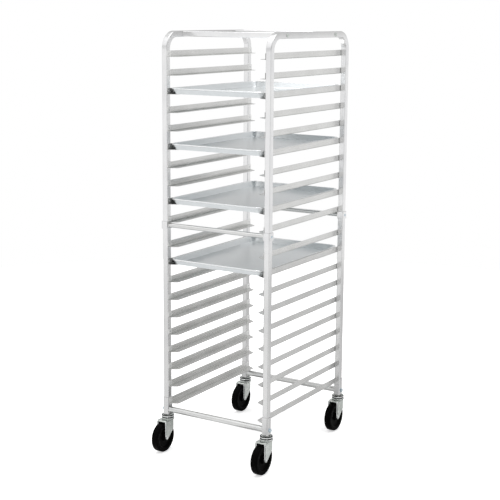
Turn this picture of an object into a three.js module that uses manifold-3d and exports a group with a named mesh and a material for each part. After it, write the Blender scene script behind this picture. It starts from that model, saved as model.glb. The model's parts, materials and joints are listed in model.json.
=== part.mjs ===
// Sheet pan rack: a tall open rack of square aluminium tube on four swivel casters, with a pair of
// angle runners at every level and a few full-size sheet pans slid onto them.
//
// Millimetres. -Y is the loading front, +X the right-hand side seen from it, +Z up. The origin is the
// bottom centre of the whole rack, on the floor.

import * as THREE from "three";
import { mergeVertices } from "three/addons/utils/BufferGeometryUtils.js";
import Module from "manifold-3d";

const wasm = await Module();
wasm.setup();

// ---- driving dimensions -------------------------------------------------------------------------

// overall, and the square tube that the side frames are bent from
const rackWidth = 520.7; // across the outer faces of the posts
const rackDepth = 660.4; // front posts' front faces to rear posts' rear faces
const tubeSize = 25.4;
const tubeWall = 1.6;
const tubeCorner = 3;
const topBendRadius = 62.3; // centreline of the bend between a post and the top rail

// levels, counted from the top
const levelsUpper = 10;
const levelsLower = 10;
const levelPitch = 76.2;
const midPitch = 104.5; // the two levels on either side of the joint between the halves
const lowestLedgeRise = 52.3; // sleeve's underside to the underside of the lowest runner
const topClearance = 54.2; // upper edge of the top runner to the underside of the top rail

// angle runners
const runnerUpright = 25.4;
const runnerLedge = 38;
const runnerThick = 1.6;
const ledgeEndCut = 21; // how far the ledge's inner edge stops short of its outer edge
const ledgeCornerRadius = 9;

// top cross-members, square tube laid between the two top rails
const topCrossInset = 126.2; // centre of each, in from the front or rear face of the posts
const topCrossSize = 22.4; // a little less than the rails, so that its faces lie below theirs
const topCrossWall = 1.6;

// mid cross bars with a collar round each post, where the upper half stands on the lower
const midBarDiameter = 19;
const midBarWall = 1.6;
const midBarBelowLedge = 12.2; // bar axis under the runner above it
const collarHeight = 32;
const collarWall = 4;

// base cross bars with a sleeve round each post foot
const baseBarDiameter = 25.4;
const baseBarWall = 2;
const baseBarRise = 23.6; // sleeve's underside to the bar's axis
const sleeveHeight = 78;
const sleeveWall = 3.5;
const sleeveFloor = 4;

// casters
const wheelDiameter = 127;
const wheelWidth = 32;
const casterTrail = 38; // wheel axle behind the swivel axis
const crownClearance = 10; // wheel's top to the underside of the fork's crown
const stemDiameter = 12;
const stemHeadDiameter = 20;
const stemHeadHeight = 5;
const mountDiscDiameter = 50;
const mountDiscThick = 4;
const raceDiameter = 55;
const raceHeight = 10.7; // race above the fork's crown
const forkThick = 3;
const legGap = 4; // wheel hub to fork leg, each side
const legRearReach = 8; // leg's rear edge behind the swivel axis
const legKneeRise = 31.5; // axle to where the leg's rear edge turns in towards it
const axleBossRadius = 9.5;
const axleDiameter = 10;
const axleOverhang = 4;
const hubDiameter = 34;
const hubProud = 1; // hub face beyond the tread's face
const webThick = 16;
const treadDepth = 16;

// sheet pans
const panLevels = [3, 6, 9, 12];
const panDepth = 25.4;
const panWall = 1.2;
const panWallLean = 11; // how far the wall leans out between the base and the rim
const panRim = 6;
const panCorner = 34;
const panSideClearance = 4.8; // rim to runner, each side
const panEndInset = 0.4; // rim behind the posts' faces

// fits
const fitGap = 0.3; // between pieces that touch or are bolted together
const boreGap = 0.3; // radial, round a pin that turns
const runnerNotchGap = 1.5; // sleeve or collar under a runner

// facets
const roundSides = 16;
const wheelSides = 24;
const bendSteps = 6;
const cornerSteps = 1;

// ---- worked out from them -----------------------------------------------------------------------

const postX = (rackWidth - tubeSize) / 2;
const postY = (rackDepth - tubeSize) / 2;
const postInnerX = postX - tubeSize / 2;
const levelCount = levelsUpper + levelsLower;
const wheelRadius = wheelDiameter / 2;
const forkTop = wheelDiameter + crownClearance + forkThick;
const casterHeight = forkTop + raceHeight + fitGap + mountDiscThick;
const legKneeHeight = wheelRadius + legKneeRise;
const baseBarHeight = casterHeight + baseBarRise;
const lowestLedge = casterHeight + lowestLedgeRise;
const ledgeBottom = (level) => {
  const aboveLowest = (levelCount - level) * levelPitch;
  const midExtra = level <= levelsUpper ? midPitch - levelPitch : 0;
  return lowestLedge + aboveLowest + midExtra;
};
const topRailZ = ledgeBottom(1) + runnerUpright + topClearance + tubeSize / 2;
const midBarZ = ledgeBottom(levelsUpper) - midBarBelowLedge;
const runnerOuterX = postInnerX - fitGap;
const hubHalf = wheelWidth / 2 + hubProud;
const legInner = hubHalf + legGap;
const legOuter = legInner + forkThick;

// ---- finishes -----------------------------------------------------------------------------------

const finish = {
  aluminium: { color: 0xc9cbcb, roughness: 0.42, metalness: 0.9 },
  runnerAluminium: { color: 0xbfc2c0, roughness: 0.5, metalness: 0.85 },
  panAluminium: { color: 0xd3dbe0, roughness: 0.35, metalness: 0.9 },
  zincSteel: { color: 0xb4bab2, roughness: 0.32, metalness: 0.95 },
  blackRubber: { color: 0x0d0d0e, roughness: 0.6, metalness: 0 },
};

// ---- helpers ------------------------------------------------------------------------------------

// A closed geometry as a solid that can be joined and cut
function solid(geometry) {
  const bare = geometry.clone();
  bare.deleteAttribute("normal");
  bare.deleteAttribute("uv");
  const merged = mergeVertices(bare, 1e-4);
  const mesh = new wasm.Mesh({
    numProp: 3,
    vertProperties: new Float32Array(merged.attributes.position.array),
    triVerts: new Uint32Array(merged.index.array),
  });
  return new wasm.Manifold(mesh);
}

// A solid as a geometry again
function geometryOf(body) {
  const mesh = body.getMesh();
  const geometry = new THREE.BufferGeometry();
  geometry.setAttribute("position", new THREE.BufferAttribute(mesh.vertProperties, 3));
  geometry.setIndex(new THREE.BufferAttribute(mesh.triVerts, 1));
  geometry.computeVertexNormals();
  return geometry;
}

function box(x0, x1, y0, y1, z0, z1) {
  const geometry = new THREE.BoxGeometry(Math.abs(x1 - x0), Math.abs(y1 - y0), Math.abs(z1 - z0));
  return geometry.translate((x0 + x1) / 2, (y0 + y1) / 2, (z0 + z1) / 2);
}

// A round bar along Z, its axis at x, y
function uprightRod(diameter, x, y, z0, z1) {
  const geometry = new THREE.CylinderGeometry(diameter / 2, diameter / 2, z1 - z0, roundSides);
  return geometry.rotateX(Math.PI / 2).translate(x, y, (z0 + z1) / 2);
}

// A round bar along X
function crossRod(diameter, x0, x1, y, z) {
  const geometry = new THREE.CylinderGeometry(diameter / 2, diameter / 2, x1 - x0, roundSides);
  return geometry.rotateZ(Math.PI / 2).translate((x0 + x1) / 2, y, z);
}

// Traces a rectangle with rounded corners on a shape or a hole's path
function traceRounded(path, width, length, corner) {
  const x = width / 2 - corner;
  const y = length / 2 - corner;
  path.absarc(x, y, corner, 0, Math.PI / 2, false);
  path.absarc(-x, y, corner, Math.PI / 2, Math.PI, false);
  path.absarc(-x, -y, corner, Math.PI, Math.PI * 1.5, false);
  path.absarc(x, -y, corner, Math.PI * 1.5, Math.PI * 2, false);
  path.closePath();
  return path;
}

function squareTubeSection(size, wall, corner) {
  const section = traceRounded(new THREE.Shape(), size, size, corner);
  const bore = size - 2 * wall;
  section.holes.push(traceRounded(new THREE.Path(), bore, bore, Math.max(corner - wall, 0.6)));
  return section;
}

// A path through given stations, so that a bend has its own steps and a straight run has one
class StationPath extends THREE.Curve {
  constructor() {
    super();
    this.stations = [];
  }

  add(point, tangent) {
    this.stations.push({ point, tangent });
  }

  station(u) {
    return this.stations[Math.round(u * (this.stations.length - 1))];
  }

  getPointAt(u) {
    return this.station(u).point.clone();
  }

  getTangentAt(u) {
    return this.station(u).tangent.clone();
  }
}

function mesh(name, geometry, look) {
  const piece = new THREE.Mesh(geometry, new THREE.MeshStandardMaterial(look));
  piece.name = name;
  return piece;
}

// ---- frame --------------------------------------------------------------------------------------

// One side of the rack: up the front post, over the top and down the rear post, in one bent tube
function sideFrame(side) {
  const foot = casterHeight + sleeveFloor + fitGap;
  const path = new StationPath();
  const bendStart = topRailZ - topBendRadius;
  path.add(new THREE.Vector3(0, -postY, foot), new THREE.Vector3(0, 0, 1));
  for (const end of [-1, 1]) {
    for (let step = 0; step <= bendSteps; step += 1) {
      const turned = (step / bendSteps) * (Math.PI / 2);
      const angle = end < 0 ? turned : Math.PI / 2 - turned;
      const y = end * (postY - topBendRadius + topBendRadius * Math.cos(angle));
      const z = bendStart + topBendRadius * Math.sin(angle);
      const along = new THREE.Vector3(0, Math.sin(angle), -end * Math.cos(angle));
      path.add(new THREE.Vector3(0, y, z), along);
    }
  }
  path.add(new THREE.Vector3(0, postY, foot), new THREE.Vector3(0, 0, -1));
  const geometry = new THREE.ExtrudeGeometry(squareTubeSection(tubeSize, tubeWall, tubeCorner), {
    extrudePath: path,
    steps: path.stations.length - 1,
    curveSegments: cornerSteps,
  });
  return geometry.translate(side * postX, 0, 0);
}

// A square tube between the two top rails
function topCrossMember(end) {
  const length = 2 * (postInnerX - fitGap);
  const corner = Math.min(tubeCorner, topCrossSize / 4);
  const section = squareTubeSection(topCrossSize, topCrossWall, corner);
  const geometry = new THREE.ExtrudeGeometry(section, {
    depth: length,
    bevelEnabled: false,
    curveSegments: cornerSteps,
  });
  geometry.translate(0, 0, -length / 2).rotateY(Math.PI / 2);
  return geometry.translate(0, end * (rackDepth / 2 - topCrossInset), topRailZ);
}

// A square ring round a post, open downwards and upwards, with its inner wall cut back under a runner
function postRing(side, end, wall, z0, z1, innerTop) {
  const outer = tubeSize + 2 * (fitGap + wall);
  const ring = new THREE.ExtrudeGeometry(squareTubeSection(outer, wall, tubeCorner + wall), {
    depth: z1 - z0,
    bevelEnabled: false,
    curveSegments: cornerSteps,
  });
  ring.translate(side * postX, end * postY, z0);
  const innerFace = side * (postInnerX + fitGap);
  const cut = box(0, innerFace, end * postY - outer, end * postY + outer, innerTop, z1 + wall);
  return solid(ring).subtract(solid(cut));
}

// A bar from post to post: a tube that ends in a ring round each post
function ringedBar(diameter, wall, end, z, rings) {
  const reach = postInnerX - fitGap;
  const y = end * postY;
  let body = solid(crossRod(diameter, -reach - fitGap, reach + fitGap, y, z));
  for (const ring of rings) {
    body = body.add(ring);
  }
  // the rings' own bore stays clear, and the tube's bore opens into it
  for (const side of [-1, 1]) {
    const half = tubeSize / 2 + fitGap;
    const bore = box(-half, half, -half, half, -diameter, diameter);
    body = body.subtract(solid(bore.translate(side * postX, y, z)));
  }
  return body.subtract(solid(crossRod(diameter - 2 * wall, -postX, postX, y, z)));
}

// Mid cross bar with its two collars
function midCrossBar(end) {
  const z0 = midBarZ - collarHeight / 2;
  const innerTop = ledgeBottom(levelsUpper) - runnerNotchGap;
  const rings = [-1, 1].map((side) => postRing(side, end, collarWall, z0, z0 + collarHeight, innerTop));
  return geometryOf(ringedBar(midBarDiameter, midBarWall, end, midBarZ, rings));
}

// Base cross bar with its two sleeves, each closed below and carrying a caster's swivel pin
function baseCrossBar(end) {
  const innerTop = lowestLedge - runnerNotchGap;
  const ringBottom = casterHeight + sleeveFloor;
  const ringTop = casterHeight + sleeveHeight;
  const rings = [-1, 1].map((side) => postRing(side, end, sleeveWall, ringBottom, ringTop, innerTop));
  let body = ringedBar(baseBarDiameter, baseBarWall, end, baseBarHeight, rings);
  for (const side of [-1, 1]) {
    body = body.add(solid(sleeveFoot(side, end)));
    for (const part of swivelPin(side, end)) {
      body = body.add(solid(part));
    }
  }
  return geometryOf(body);
}

function sleeveFoot(side, end) {
  const outer = tubeSize + 2 * (fitGap + sleeveWall);
  const section = traceRounded(new THREE.Shape(), outer, outer, tubeCorner + sleeveWall);
  const foot = new THREE.ExtrudeGeometry(section, {
    depth: sleeveFloor,
    bevelEnabled: false,
    curveSegments: cornerSteps,
  });
  return foot.translate(side * postX, end * postY, casterHeight);
}

// The caster's fixed part: mounting disc, pin through the fork and the riveted head under it
function swivelPin(side, end) {
  const x = side * postX;
  const y = end * postY;
  const headTop = forkTop - forkThick - fitGap;
  const headBottom = headTop - stemHeadHeight;
  return [
    uprightRod(mountDiscDiameter, x, y, casterHeight - mountDiscThick, casterHeight),
    uprightRod(stemDiameter, x, y, headBottom, casterHeight),
    uprightRod(stemHeadDiameter, x, y, headBottom, headTop),
  ];
}

// ---- runners ------------------------------------------------------------------------------------

// The ledge seen from above, u inwards from the upright and v along the rack: both ends are cut
// back towards the inner edge, and the corner that the cut leaves is round
function ledgeOutline(side) {
  const half = rackDepth / 2;
  const slope = Math.atan2(ledgeEndCut, runnerLedge);
  const turn = Math.PI / 2 - slope;
  const radius = ledgeCornerRadius;
  const centreU = runnerLedge - radius;
  const centreV = half - ledgeEndCut - radius * Math.tan(turn / 2);
  const shape = new THREE.Shape();
  shape.moveTo(0, -half);
  for (let step = 0; step <= 3; step += 1) {
    const angle = -turn + (turn * step) / 3;
    shape.lineTo(side * (-centreU - radius * Math.cos(angle)), -centreV + radius * Math.sin(angle));
  }
  for (let step = 0; step <= 3; step += 1) {
    const angle = (turn * step) / 3;
    shape.lineTo(side * (-centreU - radius * Math.cos(angle)), centreV + radius * Math.sin(angle));
  }
  shape.lineTo(0, half);
  return shape;
}

// An angle runner: an upright leg against the posts and a ledge that the pan's edge slides on
function runner(side, level) {
  const z = ledgeBottom(level);
  const x = side * runnerOuterX;
  const ledge = new THREE.ExtrudeGeometry(ledgeOutline(side), { depth: runnerThick, bevelEnabled: false });
  ledge.translate(x, 0, z);
  const upright = box(x, x - side * runnerThick, -rackDepth / 2, rackDepth / 2, z, z + runnerUpright);
  return geometryOf(solid(ledge).add(solid(upright)));
}

// ---- sheet pans ---------------------------------------------------------------------------------

// A tray-shaped block that widens upwards from the base outline by the wall's lean
function panBlock(width, length, corner, lean, height) {
  const section = traceRounded(new THREE.Shape(), width, length, corner);
  const block = new THREE.ExtrudeGeometry(section, {
    depth: 1,
    bevelEnabled: true,
    bevelSegments: 1,
    bevelSize: lean,
    bevelOffset: -lean,
    bevelThickness: height,
    curveSegments: 3,
  });
  return block.translate(0, 0, height);
}

// A sheet pan: flat base, leaning walls and a rolled rim round the top
function sheetPan(level) {
  const width = 2 * (runnerOuterX - runnerThick - panSideClearance);
  const length = rackDepth - 2 * panEndInset;
  const base = ledgeBottom(level) + runnerThick + fitGap;
  const bodyWidth = width - 2 * panRim;
  const bodyLength = length - 2 * panRim;
  const bodyCorner = panCorner - panRim;
  const above = box(-width, width, -length, length, panDepth, 3 * panDepth);
  const rim = new THREE.ExtrudeGeometry(traceRounded(new THREE.Shape(), width, length, panCorner), {
    depth: panRim,
    bevelEnabled: false,
    curveSegments: 3,
  });
  rim.translate(0, 0, panDepth - panRim);
  const block = panBlock(bodyWidth, bodyLength, bodyCorner, panWallLean, panDepth);
  const outside = solid(block).subtract(solid(above));
  const innerWidth = bodyWidth - 2 * panWall;
  const innerLength = bodyLength - 2 * panWall;
  const hollow = panBlock(innerWidth, innerLength, bodyCorner - panWall, panWallLean, panDepth);
  hollow.translate(0, 0, panWall);
  const pan = geometryOf(outside.add(solid(rim)).subtract(solid(hollow)));
  return pan.translate(0, 0, base);
}

// ---- casters ------------------------------------------------------------------------------------

// A shape drawn with y across and z up, extruded along x
function sideways(shape, x0, x1, curveSegments) {
  const geometry = new THREE.ExtrudeGeometry(shape, { depth: x1 - x0, bevelEnabled: false, curveSegments });
  const toSide = new THREE.Matrix4().makeBasis(
    new THREE.Vector3(0, 1, 0),
    new THREE.Vector3(0, 0, 1),
    new THREE.Vector3(1, 0, 0),
  );
  return geometry.applyMatrix4(toSide).translate(x0, 0, 0);
}

// One leg of the fork: straight down in front, drawn in behind towards a round boss at the axle
function forkLegShape(top) {
  const axleY = -casterTrail;
  const toKnee = Math.atan2(legKneeHeight - wheelRadius, legRearReach - axleY);
  const kneeAway = Math.hypot(legKneeHeight - wheelRadius, legRearReach - axleY);
  const tangent = toKnee - Math.acos(axleBossRadius / kneeAway);
  const shape = new THREE.Shape();
  shape.moveTo(axleY - axleBossRadius, top);
  shape.absarc(axleY, wheelRadius, axleBossRadius, Math.PI, Math.PI * 2 + tangent, false);
  shape.lineTo(legRearReach, legKneeHeight);
  shape.lineTo(legRearReach, top);
  return shape;
}

// The crown seen from above: round behind, about the swivel axis, and straight-sided to the nose
function crownShape() {
  const shape = new THREE.Shape();
  const nose = -casterTrail - axleBossRadius;
  const back = raceDiameter / 2;
  const sideAngle = Math.asin(Math.min(legOuter / back, 1));
  shape.moveTo(-legOuter, nose);
  shape.lineTo(legOuter, nose);
  shape.absarc(0, 0, back, Math.PI / 2 - sideAngle, Math.PI / 2 + sideAngle, false);
  return shape;
}

// The swivel race on the crown, two rounded rims with a groove between
function raceRing() {
  const outer = raceDiameter / 2;
  const inner = stemDiameter / 2 + boreGap;
  const bottom = forkTop - forkThick / 2;
  const top = forkTop + raceHeight;
  const groove = (bottom + top) / 2;
  const profile = [
    [inner, bottom],
    [outer, bottom],
    [outer, groove - 1],
    [outer - 2.5, groove],
    [outer, groove + 1],
    [outer, top - 2],
    [outer - 2, top],
    [inner, top],
    [inner, bottom],
  ];
  const ring = new THREE.LatheGeometry(profile.map(([r, z]) => new THREE.Vector2(r, z)), roundSides);
  return ring.rotateX(Math.PI / 2);
}

// Fork with its race, legs and axle, drawn with the swivel axis at the origin
function casterFork() {
  const crown = new THREE.ExtrudeGeometry(crownShape(), {
    depth: forkThick,
    bevelEnabled: false,
    curveSegments: 6,
  });
  crown.translate(0, 0, forkTop - forkThick);
  let body = solid(crown).add(solid(raceRing()));
  const leg = forkLegShape(forkTop - forkThick / 2);
  body = body.add(solid(sideways(leg, legInner, legOuter, 4)));
  body = body.add(solid(sideways(leg, -legOuter, -legInner, 4)));
  const axleReach = legOuter + axleOverhang;
  body = body.add(solid(crossRod(axleDiameter, -axleReach, axleReach, -casterTrail, wheelRadius)));
  const bore = uprightRod(stemDiameter + 2 * boreGap, 0, 0, forkTop - 2 * forkThick, casterHeight);
  return geometryOf(body.subtract(solid(bore)));
}

// Wheel: hub on a plain bore, thinner web and a broad tread with eased edges, its axle at the origin
function casterWheel() {
  const bore = axleDiameter / 2 + boreGap;
  const tread = wheelWidth / 2;
  const ease = 4;
  const webInner = hubDiameter / 2;
  const webOuter = wheelRadius - treadDepth;
  const half = [
    [bore, hubHalf],
    [webInner, hubHalf],
    [webInner, webThick / 2],
    [webOuter, webThick / 2],
    [webOuter, tread],
    [wheelRadius - ease, tread],
    [wheelRadius, tread - ease],
  ];
  const mirrored = half.map(([r, x]) => [r, -x]).reverse();
  const profile = [...half, ...mirrored, half[0]].reverse();
  const wheel = new THREE.LatheGeometry(profile.map(([r, x]) => new THREE.Vector2(r, x)), wheelSides);
  return wheel.rotateZ(Math.PI / 2);
}

// ---- assembly -----------------------------------------------------------------------------------

const sides = [["left", -1], ["right", 1]];
const ends = [["front", -1], ["rear", 1]];
const rack = new THREE.Group();

for (const [sideName, side] of sides) {
  rack.add(mesh(`${sideName}_side_frame`, sideFrame(side), finish.aluminium));
}

for (const [endName, end] of ends) {
  rack.add(mesh(`${endName}_top_crossmember`, topCrossMember(end), finish.aluminium));
  rack.add(mesh(`${endName}_mid_crossbar`, midCrossBar(end), finish.aluminium));
  rack.add(mesh(`${endName}_base_crossbar`, baseCrossBar(end), finish.aluminium));
}

for (let level = 1; level <= levelCount; level += 1) {
  for (const [sideName, side] of sides) {
    const name = `${sideName}_runner_${String(level).padStart(2, "0")}`;
    rack.add(mesh(name, runner(side, level), finish.runnerAluminium));
  }
}

for (const level of panLevels) {
  const name = `sheet_pan_${String(level).padStart(2, "0")}`;
  rack.add(mesh(name, sheetPan(level), finish.panAluminium));
}

const forkGeometry = casterFork();
const wheelGeometry = casterWheel();
for (const [endName, end] of ends) {
  for (const [sideName, side] of sides) {
    const caster = new THREE.Group();
    caster.position.set(side * postX, end * postY, 0);
    const corner = `${endName}_${sideName}`;
    caster.add(mesh(`${corner}_caster_fork`, forkGeometry.clone(), finish.zincSteel));
    const wheel = mesh(`${corner}_caster_wheel`, wheelGeometry.clone(), finish.blackRubber);
    wheel.position.set(0, -casterTrail, wheelRadius);
    caster.add(wheel);
    rack.add(caster);
  }
}

// the casters all trail forwards, so the rack's middle is a little in front of the posts' middle
rack.updateMatrixWorld(true);
const middle = new THREE.Box3().setFromObject(rack, true).getCenter(new THREE.Vector3());
rack.position.set(-middle.x, -middle.y, 0);
rack.updateMatrixWorld(true);

export default rack;
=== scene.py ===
# %% [markdown]
# # A sheet pan rack in bright aluminium
# The rack is a bakery's tall trolley: two bent side frames, cross bars between them, angle runners
# on both sides, a few sheet pans and four swivel casters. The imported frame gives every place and
# size, so each step below reads a node's box and builds the finished piece inside it.

# %% Load the frame
import json
import math

import bmesh
import bpy
from mathutils import Matrix, Vector


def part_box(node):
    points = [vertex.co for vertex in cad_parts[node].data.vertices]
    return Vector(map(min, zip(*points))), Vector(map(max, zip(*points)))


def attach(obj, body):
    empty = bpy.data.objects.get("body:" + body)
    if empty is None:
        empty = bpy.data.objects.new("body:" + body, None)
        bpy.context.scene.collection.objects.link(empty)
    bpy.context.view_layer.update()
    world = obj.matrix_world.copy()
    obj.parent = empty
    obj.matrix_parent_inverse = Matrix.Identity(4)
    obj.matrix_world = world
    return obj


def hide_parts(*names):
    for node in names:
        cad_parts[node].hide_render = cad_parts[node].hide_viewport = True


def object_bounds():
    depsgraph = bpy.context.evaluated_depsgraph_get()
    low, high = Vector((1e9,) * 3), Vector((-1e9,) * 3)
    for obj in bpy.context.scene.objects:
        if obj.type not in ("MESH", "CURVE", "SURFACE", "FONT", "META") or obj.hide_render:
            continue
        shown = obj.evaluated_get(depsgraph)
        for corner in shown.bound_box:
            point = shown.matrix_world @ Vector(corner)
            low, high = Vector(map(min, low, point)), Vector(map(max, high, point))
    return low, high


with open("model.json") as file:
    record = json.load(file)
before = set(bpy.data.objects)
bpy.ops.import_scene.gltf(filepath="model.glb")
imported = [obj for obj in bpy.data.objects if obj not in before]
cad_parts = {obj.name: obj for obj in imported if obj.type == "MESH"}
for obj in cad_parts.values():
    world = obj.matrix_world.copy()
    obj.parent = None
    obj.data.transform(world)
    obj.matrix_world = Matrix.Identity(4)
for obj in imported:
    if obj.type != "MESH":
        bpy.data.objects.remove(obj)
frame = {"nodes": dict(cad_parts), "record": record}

cad_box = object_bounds()
LEVELS = sum(name.startswith("left_runner_") for name in frame["nodes"])
PAN_LEVELS = [int(name[-2:]) for name in frame["nodes"] if name.startswith("sheet_pan_")]
SIDES = {"left": -1, "right": 1}
ENDS = {"front": -1, "rear": 1}

# %% [markdown]
# ## The view
# The camera stands to the right of the loading front and a little above the rack. It is far away
# and has a long lens, so that the posts stay nearly parallel, and a small downward shift of the
# lens helps. It could be aimed with a Track To constraint, but plain turns leave the roll free.
# Setting the view first means that every later look is a fair one.

# %% Camera
CAMERA_PLACE = Vector((2.638, -4.313, 1.863))
CAMERA_AZIMUTH = math.radians(31.55)
CAMERA_PITCH = math.radians(10.29)
CAMERA_ROLL = math.radians(0.41)
CAMERA_LENS = 86.15
CAMERA_SHIFT = -0.04


def place_camera():
    data = bpy.data.cameras.new("view")
    data.lens = CAMERA_LENS
    data.shift_y = CAMERA_SHIFT
    camera = bpy.data.objects.new("view", data)
    bpy.context.scene.collection.objects.link(camera)
    turn = Matrix.Rotation(CAMERA_AZIMUTH, 4, "Z")
    tilt = Matrix.Rotation(math.pi / 2 - CAMERA_PITCH, 4, "X")
    roll = Matrix.Rotation(CAMERA_ROLL, 4, "Z")
    camera.matrix_world = Matrix.Translation(CAMERA_PLACE) @ turn @ tilt @ roll
    bpy.context.scene.camera = camera


place_camera()
print("camera lens", CAMERA_LENS)

# %% [markdown]
# ## Finishes
# Bare metal gets its look from what it reflects, so the metals are plain Principled shaders with
# full metallic and a roughness that wanders a little. Drawn tube and extruded angle carry faint
# lines along their length: a noise stretched along one axis gives them to the roughness and the
# bump. The noise reads Object coordinates, which are the rack's own, so the lines stay on the metal
# when a caster turns or a pan slides out.

# %% Noise and its uses
def shader_tree(name):
    material = bpy.data.materials.new(name)
    material.use_nodes = True
    tree = material.node_tree
    return material, tree.nodes, tree.links, tree.nodes["Principled BSDF"]


def stretched_noise(nodes, links, scale, detail=4.0, roughness=0.6):
    """A noise over the rack's own coordinates, stretched where its scale is small."""
    place = nodes.new("ShaderNodeTexCoord")
    mapping = nodes.new("ShaderNodeMapping")
    mapping.inputs["Scale"].default_value = scale
    noise = nodes.new("ShaderNodeTexNoise")
    noise.inputs["Scale"].default_value = 1.0
    noise.inputs["Detail"].default_value = detail
    noise.inputs["Roughness"].default_value = roughness
    links.new(place.outputs["Object"], mapping.inputs["Vector"])
    links.new(mapping.outputs["Vector"], noise.inputs["Vector"])
    return noise


print("noise ready")

# %% [markdown]
# A noise is a number from 0 to 1 that rarely leaves the middle of that range. Each use stretches
# the middle: onto a range of roughness, onto the colours between two tones, or onto the height of a
# bump. Painted maps could do this too, but they'd need files and unwrapped pieces.

# %% From noise to roughness, tone and bump
NOISE_LOW = 0.3
NOISE_HIGH = 0.7
BUMP_DEPTH = 0.0002


def wander(nodes, links, noise, shader, low, high):
    """Lets the roughness wander between low and high."""
    ramp = nodes.new("ShaderNodeMapRange")
    ramp.inputs["From Min"].default_value = NOISE_LOW
    ramp.inputs["From Max"].default_value = NOISE_HIGH
    ramp.inputs["To Min"].default_value = low
    ramp.inputs["To Max"].default_value = high
    links.new(noise.outputs[0], ramp.inputs["Value"])
    links.new(ramp.outputs["Result"], shader.inputs["Roughness"])


def tone_between(nodes, links, noise, shader, dark, light, start=NOISE_LOW, stop=NOISE_HIGH):
    """Lets the base colour wander between two tones."""
    ramp = nodes.new("ShaderNodeValToRGB")
    ramp.color_ramp.elements[0].position = start
    ramp.color_ramp.elements[0].color = (*dark, 1)
    ramp.color_ramp.elements[1].position = stop
    ramp.color_ramp.elements[1].color = (*light, 1)
    links.new(noise.outputs[0], ramp.inputs["Fac"])
    links.new(ramp.outputs["Color"], shader.inputs["Base Color"])


def bump_from(nodes, links, noise, shader, strength):
    bump = nodes.new("ShaderNodeBump")
    bump.inputs["Strength"].default_value = strength
    bump.inputs["Distance"].default_value = BUMP_DEPTH
    links.new(noise.outputs[0], bump.inputs["Height"])
    links.new(bump.outputs["Normal"], shader.inputs["Normal"])


print("uses of noise ready")

# %% [markdown]
# Six finishes are bare aluminium, and they share one recipe: the square tube, the cross tube, the
# round bars, the extruded angle, a darker copy of it along its fold that is painted shade, and a
# lighter copy at its ends that is a painted reflection of the posts. They differ in tone, in grain and
# in roughness; the cross tube's lighter tone is a painted highlight for the light on the top of the
# frame. One material for all would be simpler, but then bars and runners would melt into the posts
# behind them.

# %% Metals
GRAIN_UP = (900, 900, 14)
GRAIN_ACROSS = (14, 900, 900)
GRAIN_ALONG = (900, 6, 900)
FOLD_GRAIN = (900, 10, 900)
BRUSHED_GRAIN = (300, 300, 300)
CLOUD_SCALE = (9, 9, 9)


def lined_metal(name, dark, light, grain, rough, lines=0.15):
    """Metal with lines along the axis where grain is small, and soft clouding over them."""
    material, nodes, links, shader = shader_tree(name)
    shader.inputs["Metallic"].default_value = 1.0
    streaks = stretched_noise(nodes, links, grain)
    clouds = stretched_noise(nodes, links, CLOUD_SCALE, detail=3)
    tone_between(nodes, links, clouds, shader, dark, light)
    wander(nodes, links, streaks, shader, rough - 0.06, rough + 0.06)
    bump_from(nodes, links, streaks, shader, lines)
    return material


TUBE_METAL = lined_metal("drawn_tube", (0.80, 0.80, 0.81), (0.88, 0.88, 0.88), GRAIN_UP, 0.2)
# The cross tube is a lighter copy of the tube's tone: a painted highlight for the light on the top of
# the frame.
RAIL_PAINTED_HIGHLIGHT_METAL = lined_metal("cross_rail_tube_painted_highlight", (0.86, 0.86, 0.87), (0.93, 0.93, 0.93), GRAIN_ACROSS, 0.22)
ROUND_METAL = lined_metal("round_bar_tube", (0.73, 0.735, 0.73), (0.82, 0.82, 0.81), GRAIN_ACROSS, 0.3)
RUNNER_METAL = lined_metal(
    "extruded_angle", (0.69, 0.69, 0.68), (0.765, 0.765, 0.755), GRAIN_ALONG, 0.26, lines=0.06,
)
# Painted shade: a darker copy of the angle's tone, laid on the faces of its fold.
FOLD_PAINTED_SHADE_METAL = lined_metal("angle_fold_painted_shade", (0.55, 0.56, 0.54), (0.63, 0.64, 0.62), FOLD_GRAIN, 0.36)
# Painted reflection: a lighter copy of the angle's tone for the upright's ends, where the posts are
# mirrored.
END_PAINTED_REFLECTION_METAL = lined_metal("angle_end_painted_reflection", (0.86, 0.86, 0.85), (0.93, 0.93, 0.92), BRUSHED_GRAIN, 0.42)
print("metals", len(bpy.data.materials))

# %% [markdown]
# The posts are painted darker towards the floor, and so is the top of the frame: this is painted
# shade, for the dimmer light that those parts reflect. Both are changes with height, so the base
# colour is multiplied along Z. A second material on some faces would show a line where it starts.

# %% Painted shade with height
LOWER_SHADE_HEIGHTS = (1.0, 0.55)
LOWER_SHADE_TONE = (0.86, 0.86, 0.855)
TOP_SHADE_HEIGHTS = (1.755, 1.78)
TOP_SHADE_TONE = (0.80, 0.80, 0.795)


def painted_shade_between(material, heights, factor):
    """Multiplies the base colour by factor past the second height, blending in from the first."""
    nodes, links = material.node_tree.nodes, material.node_tree.links
    shader = nodes["Principled BSDF"]
    before = shader.inputs["Base Color"].links[0].from_socket
    place = nodes.new("ShaderNodeTexCoord")
    split = nodes.new("ShaderNodeSeparateXYZ")
    links.new(place.outputs["Object"], split.inputs["Vector"])
    reach = nodes.new("ShaderNodeMapRange")
    reach.inputs["From Min"].default_value = heights[0]
    reach.inputs["From Max"].default_value = heights[1]
    links.new(split.outputs["Z"], reach.inputs["Value"])
    toned = nodes.new("ShaderNodeMix")
    toned.data_type = "RGBA"
    toned.blend_type = "MULTIPLY"
    toned.inputs["B"].default_value = (*factor, 1)
    links.new(reach.outputs["Result"], toned.inputs["Factor"])
    links.new(before, toned.inputs["A"])
    links.new(toned.outputs["Result"], shader.inputs["Base Color"])


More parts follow.
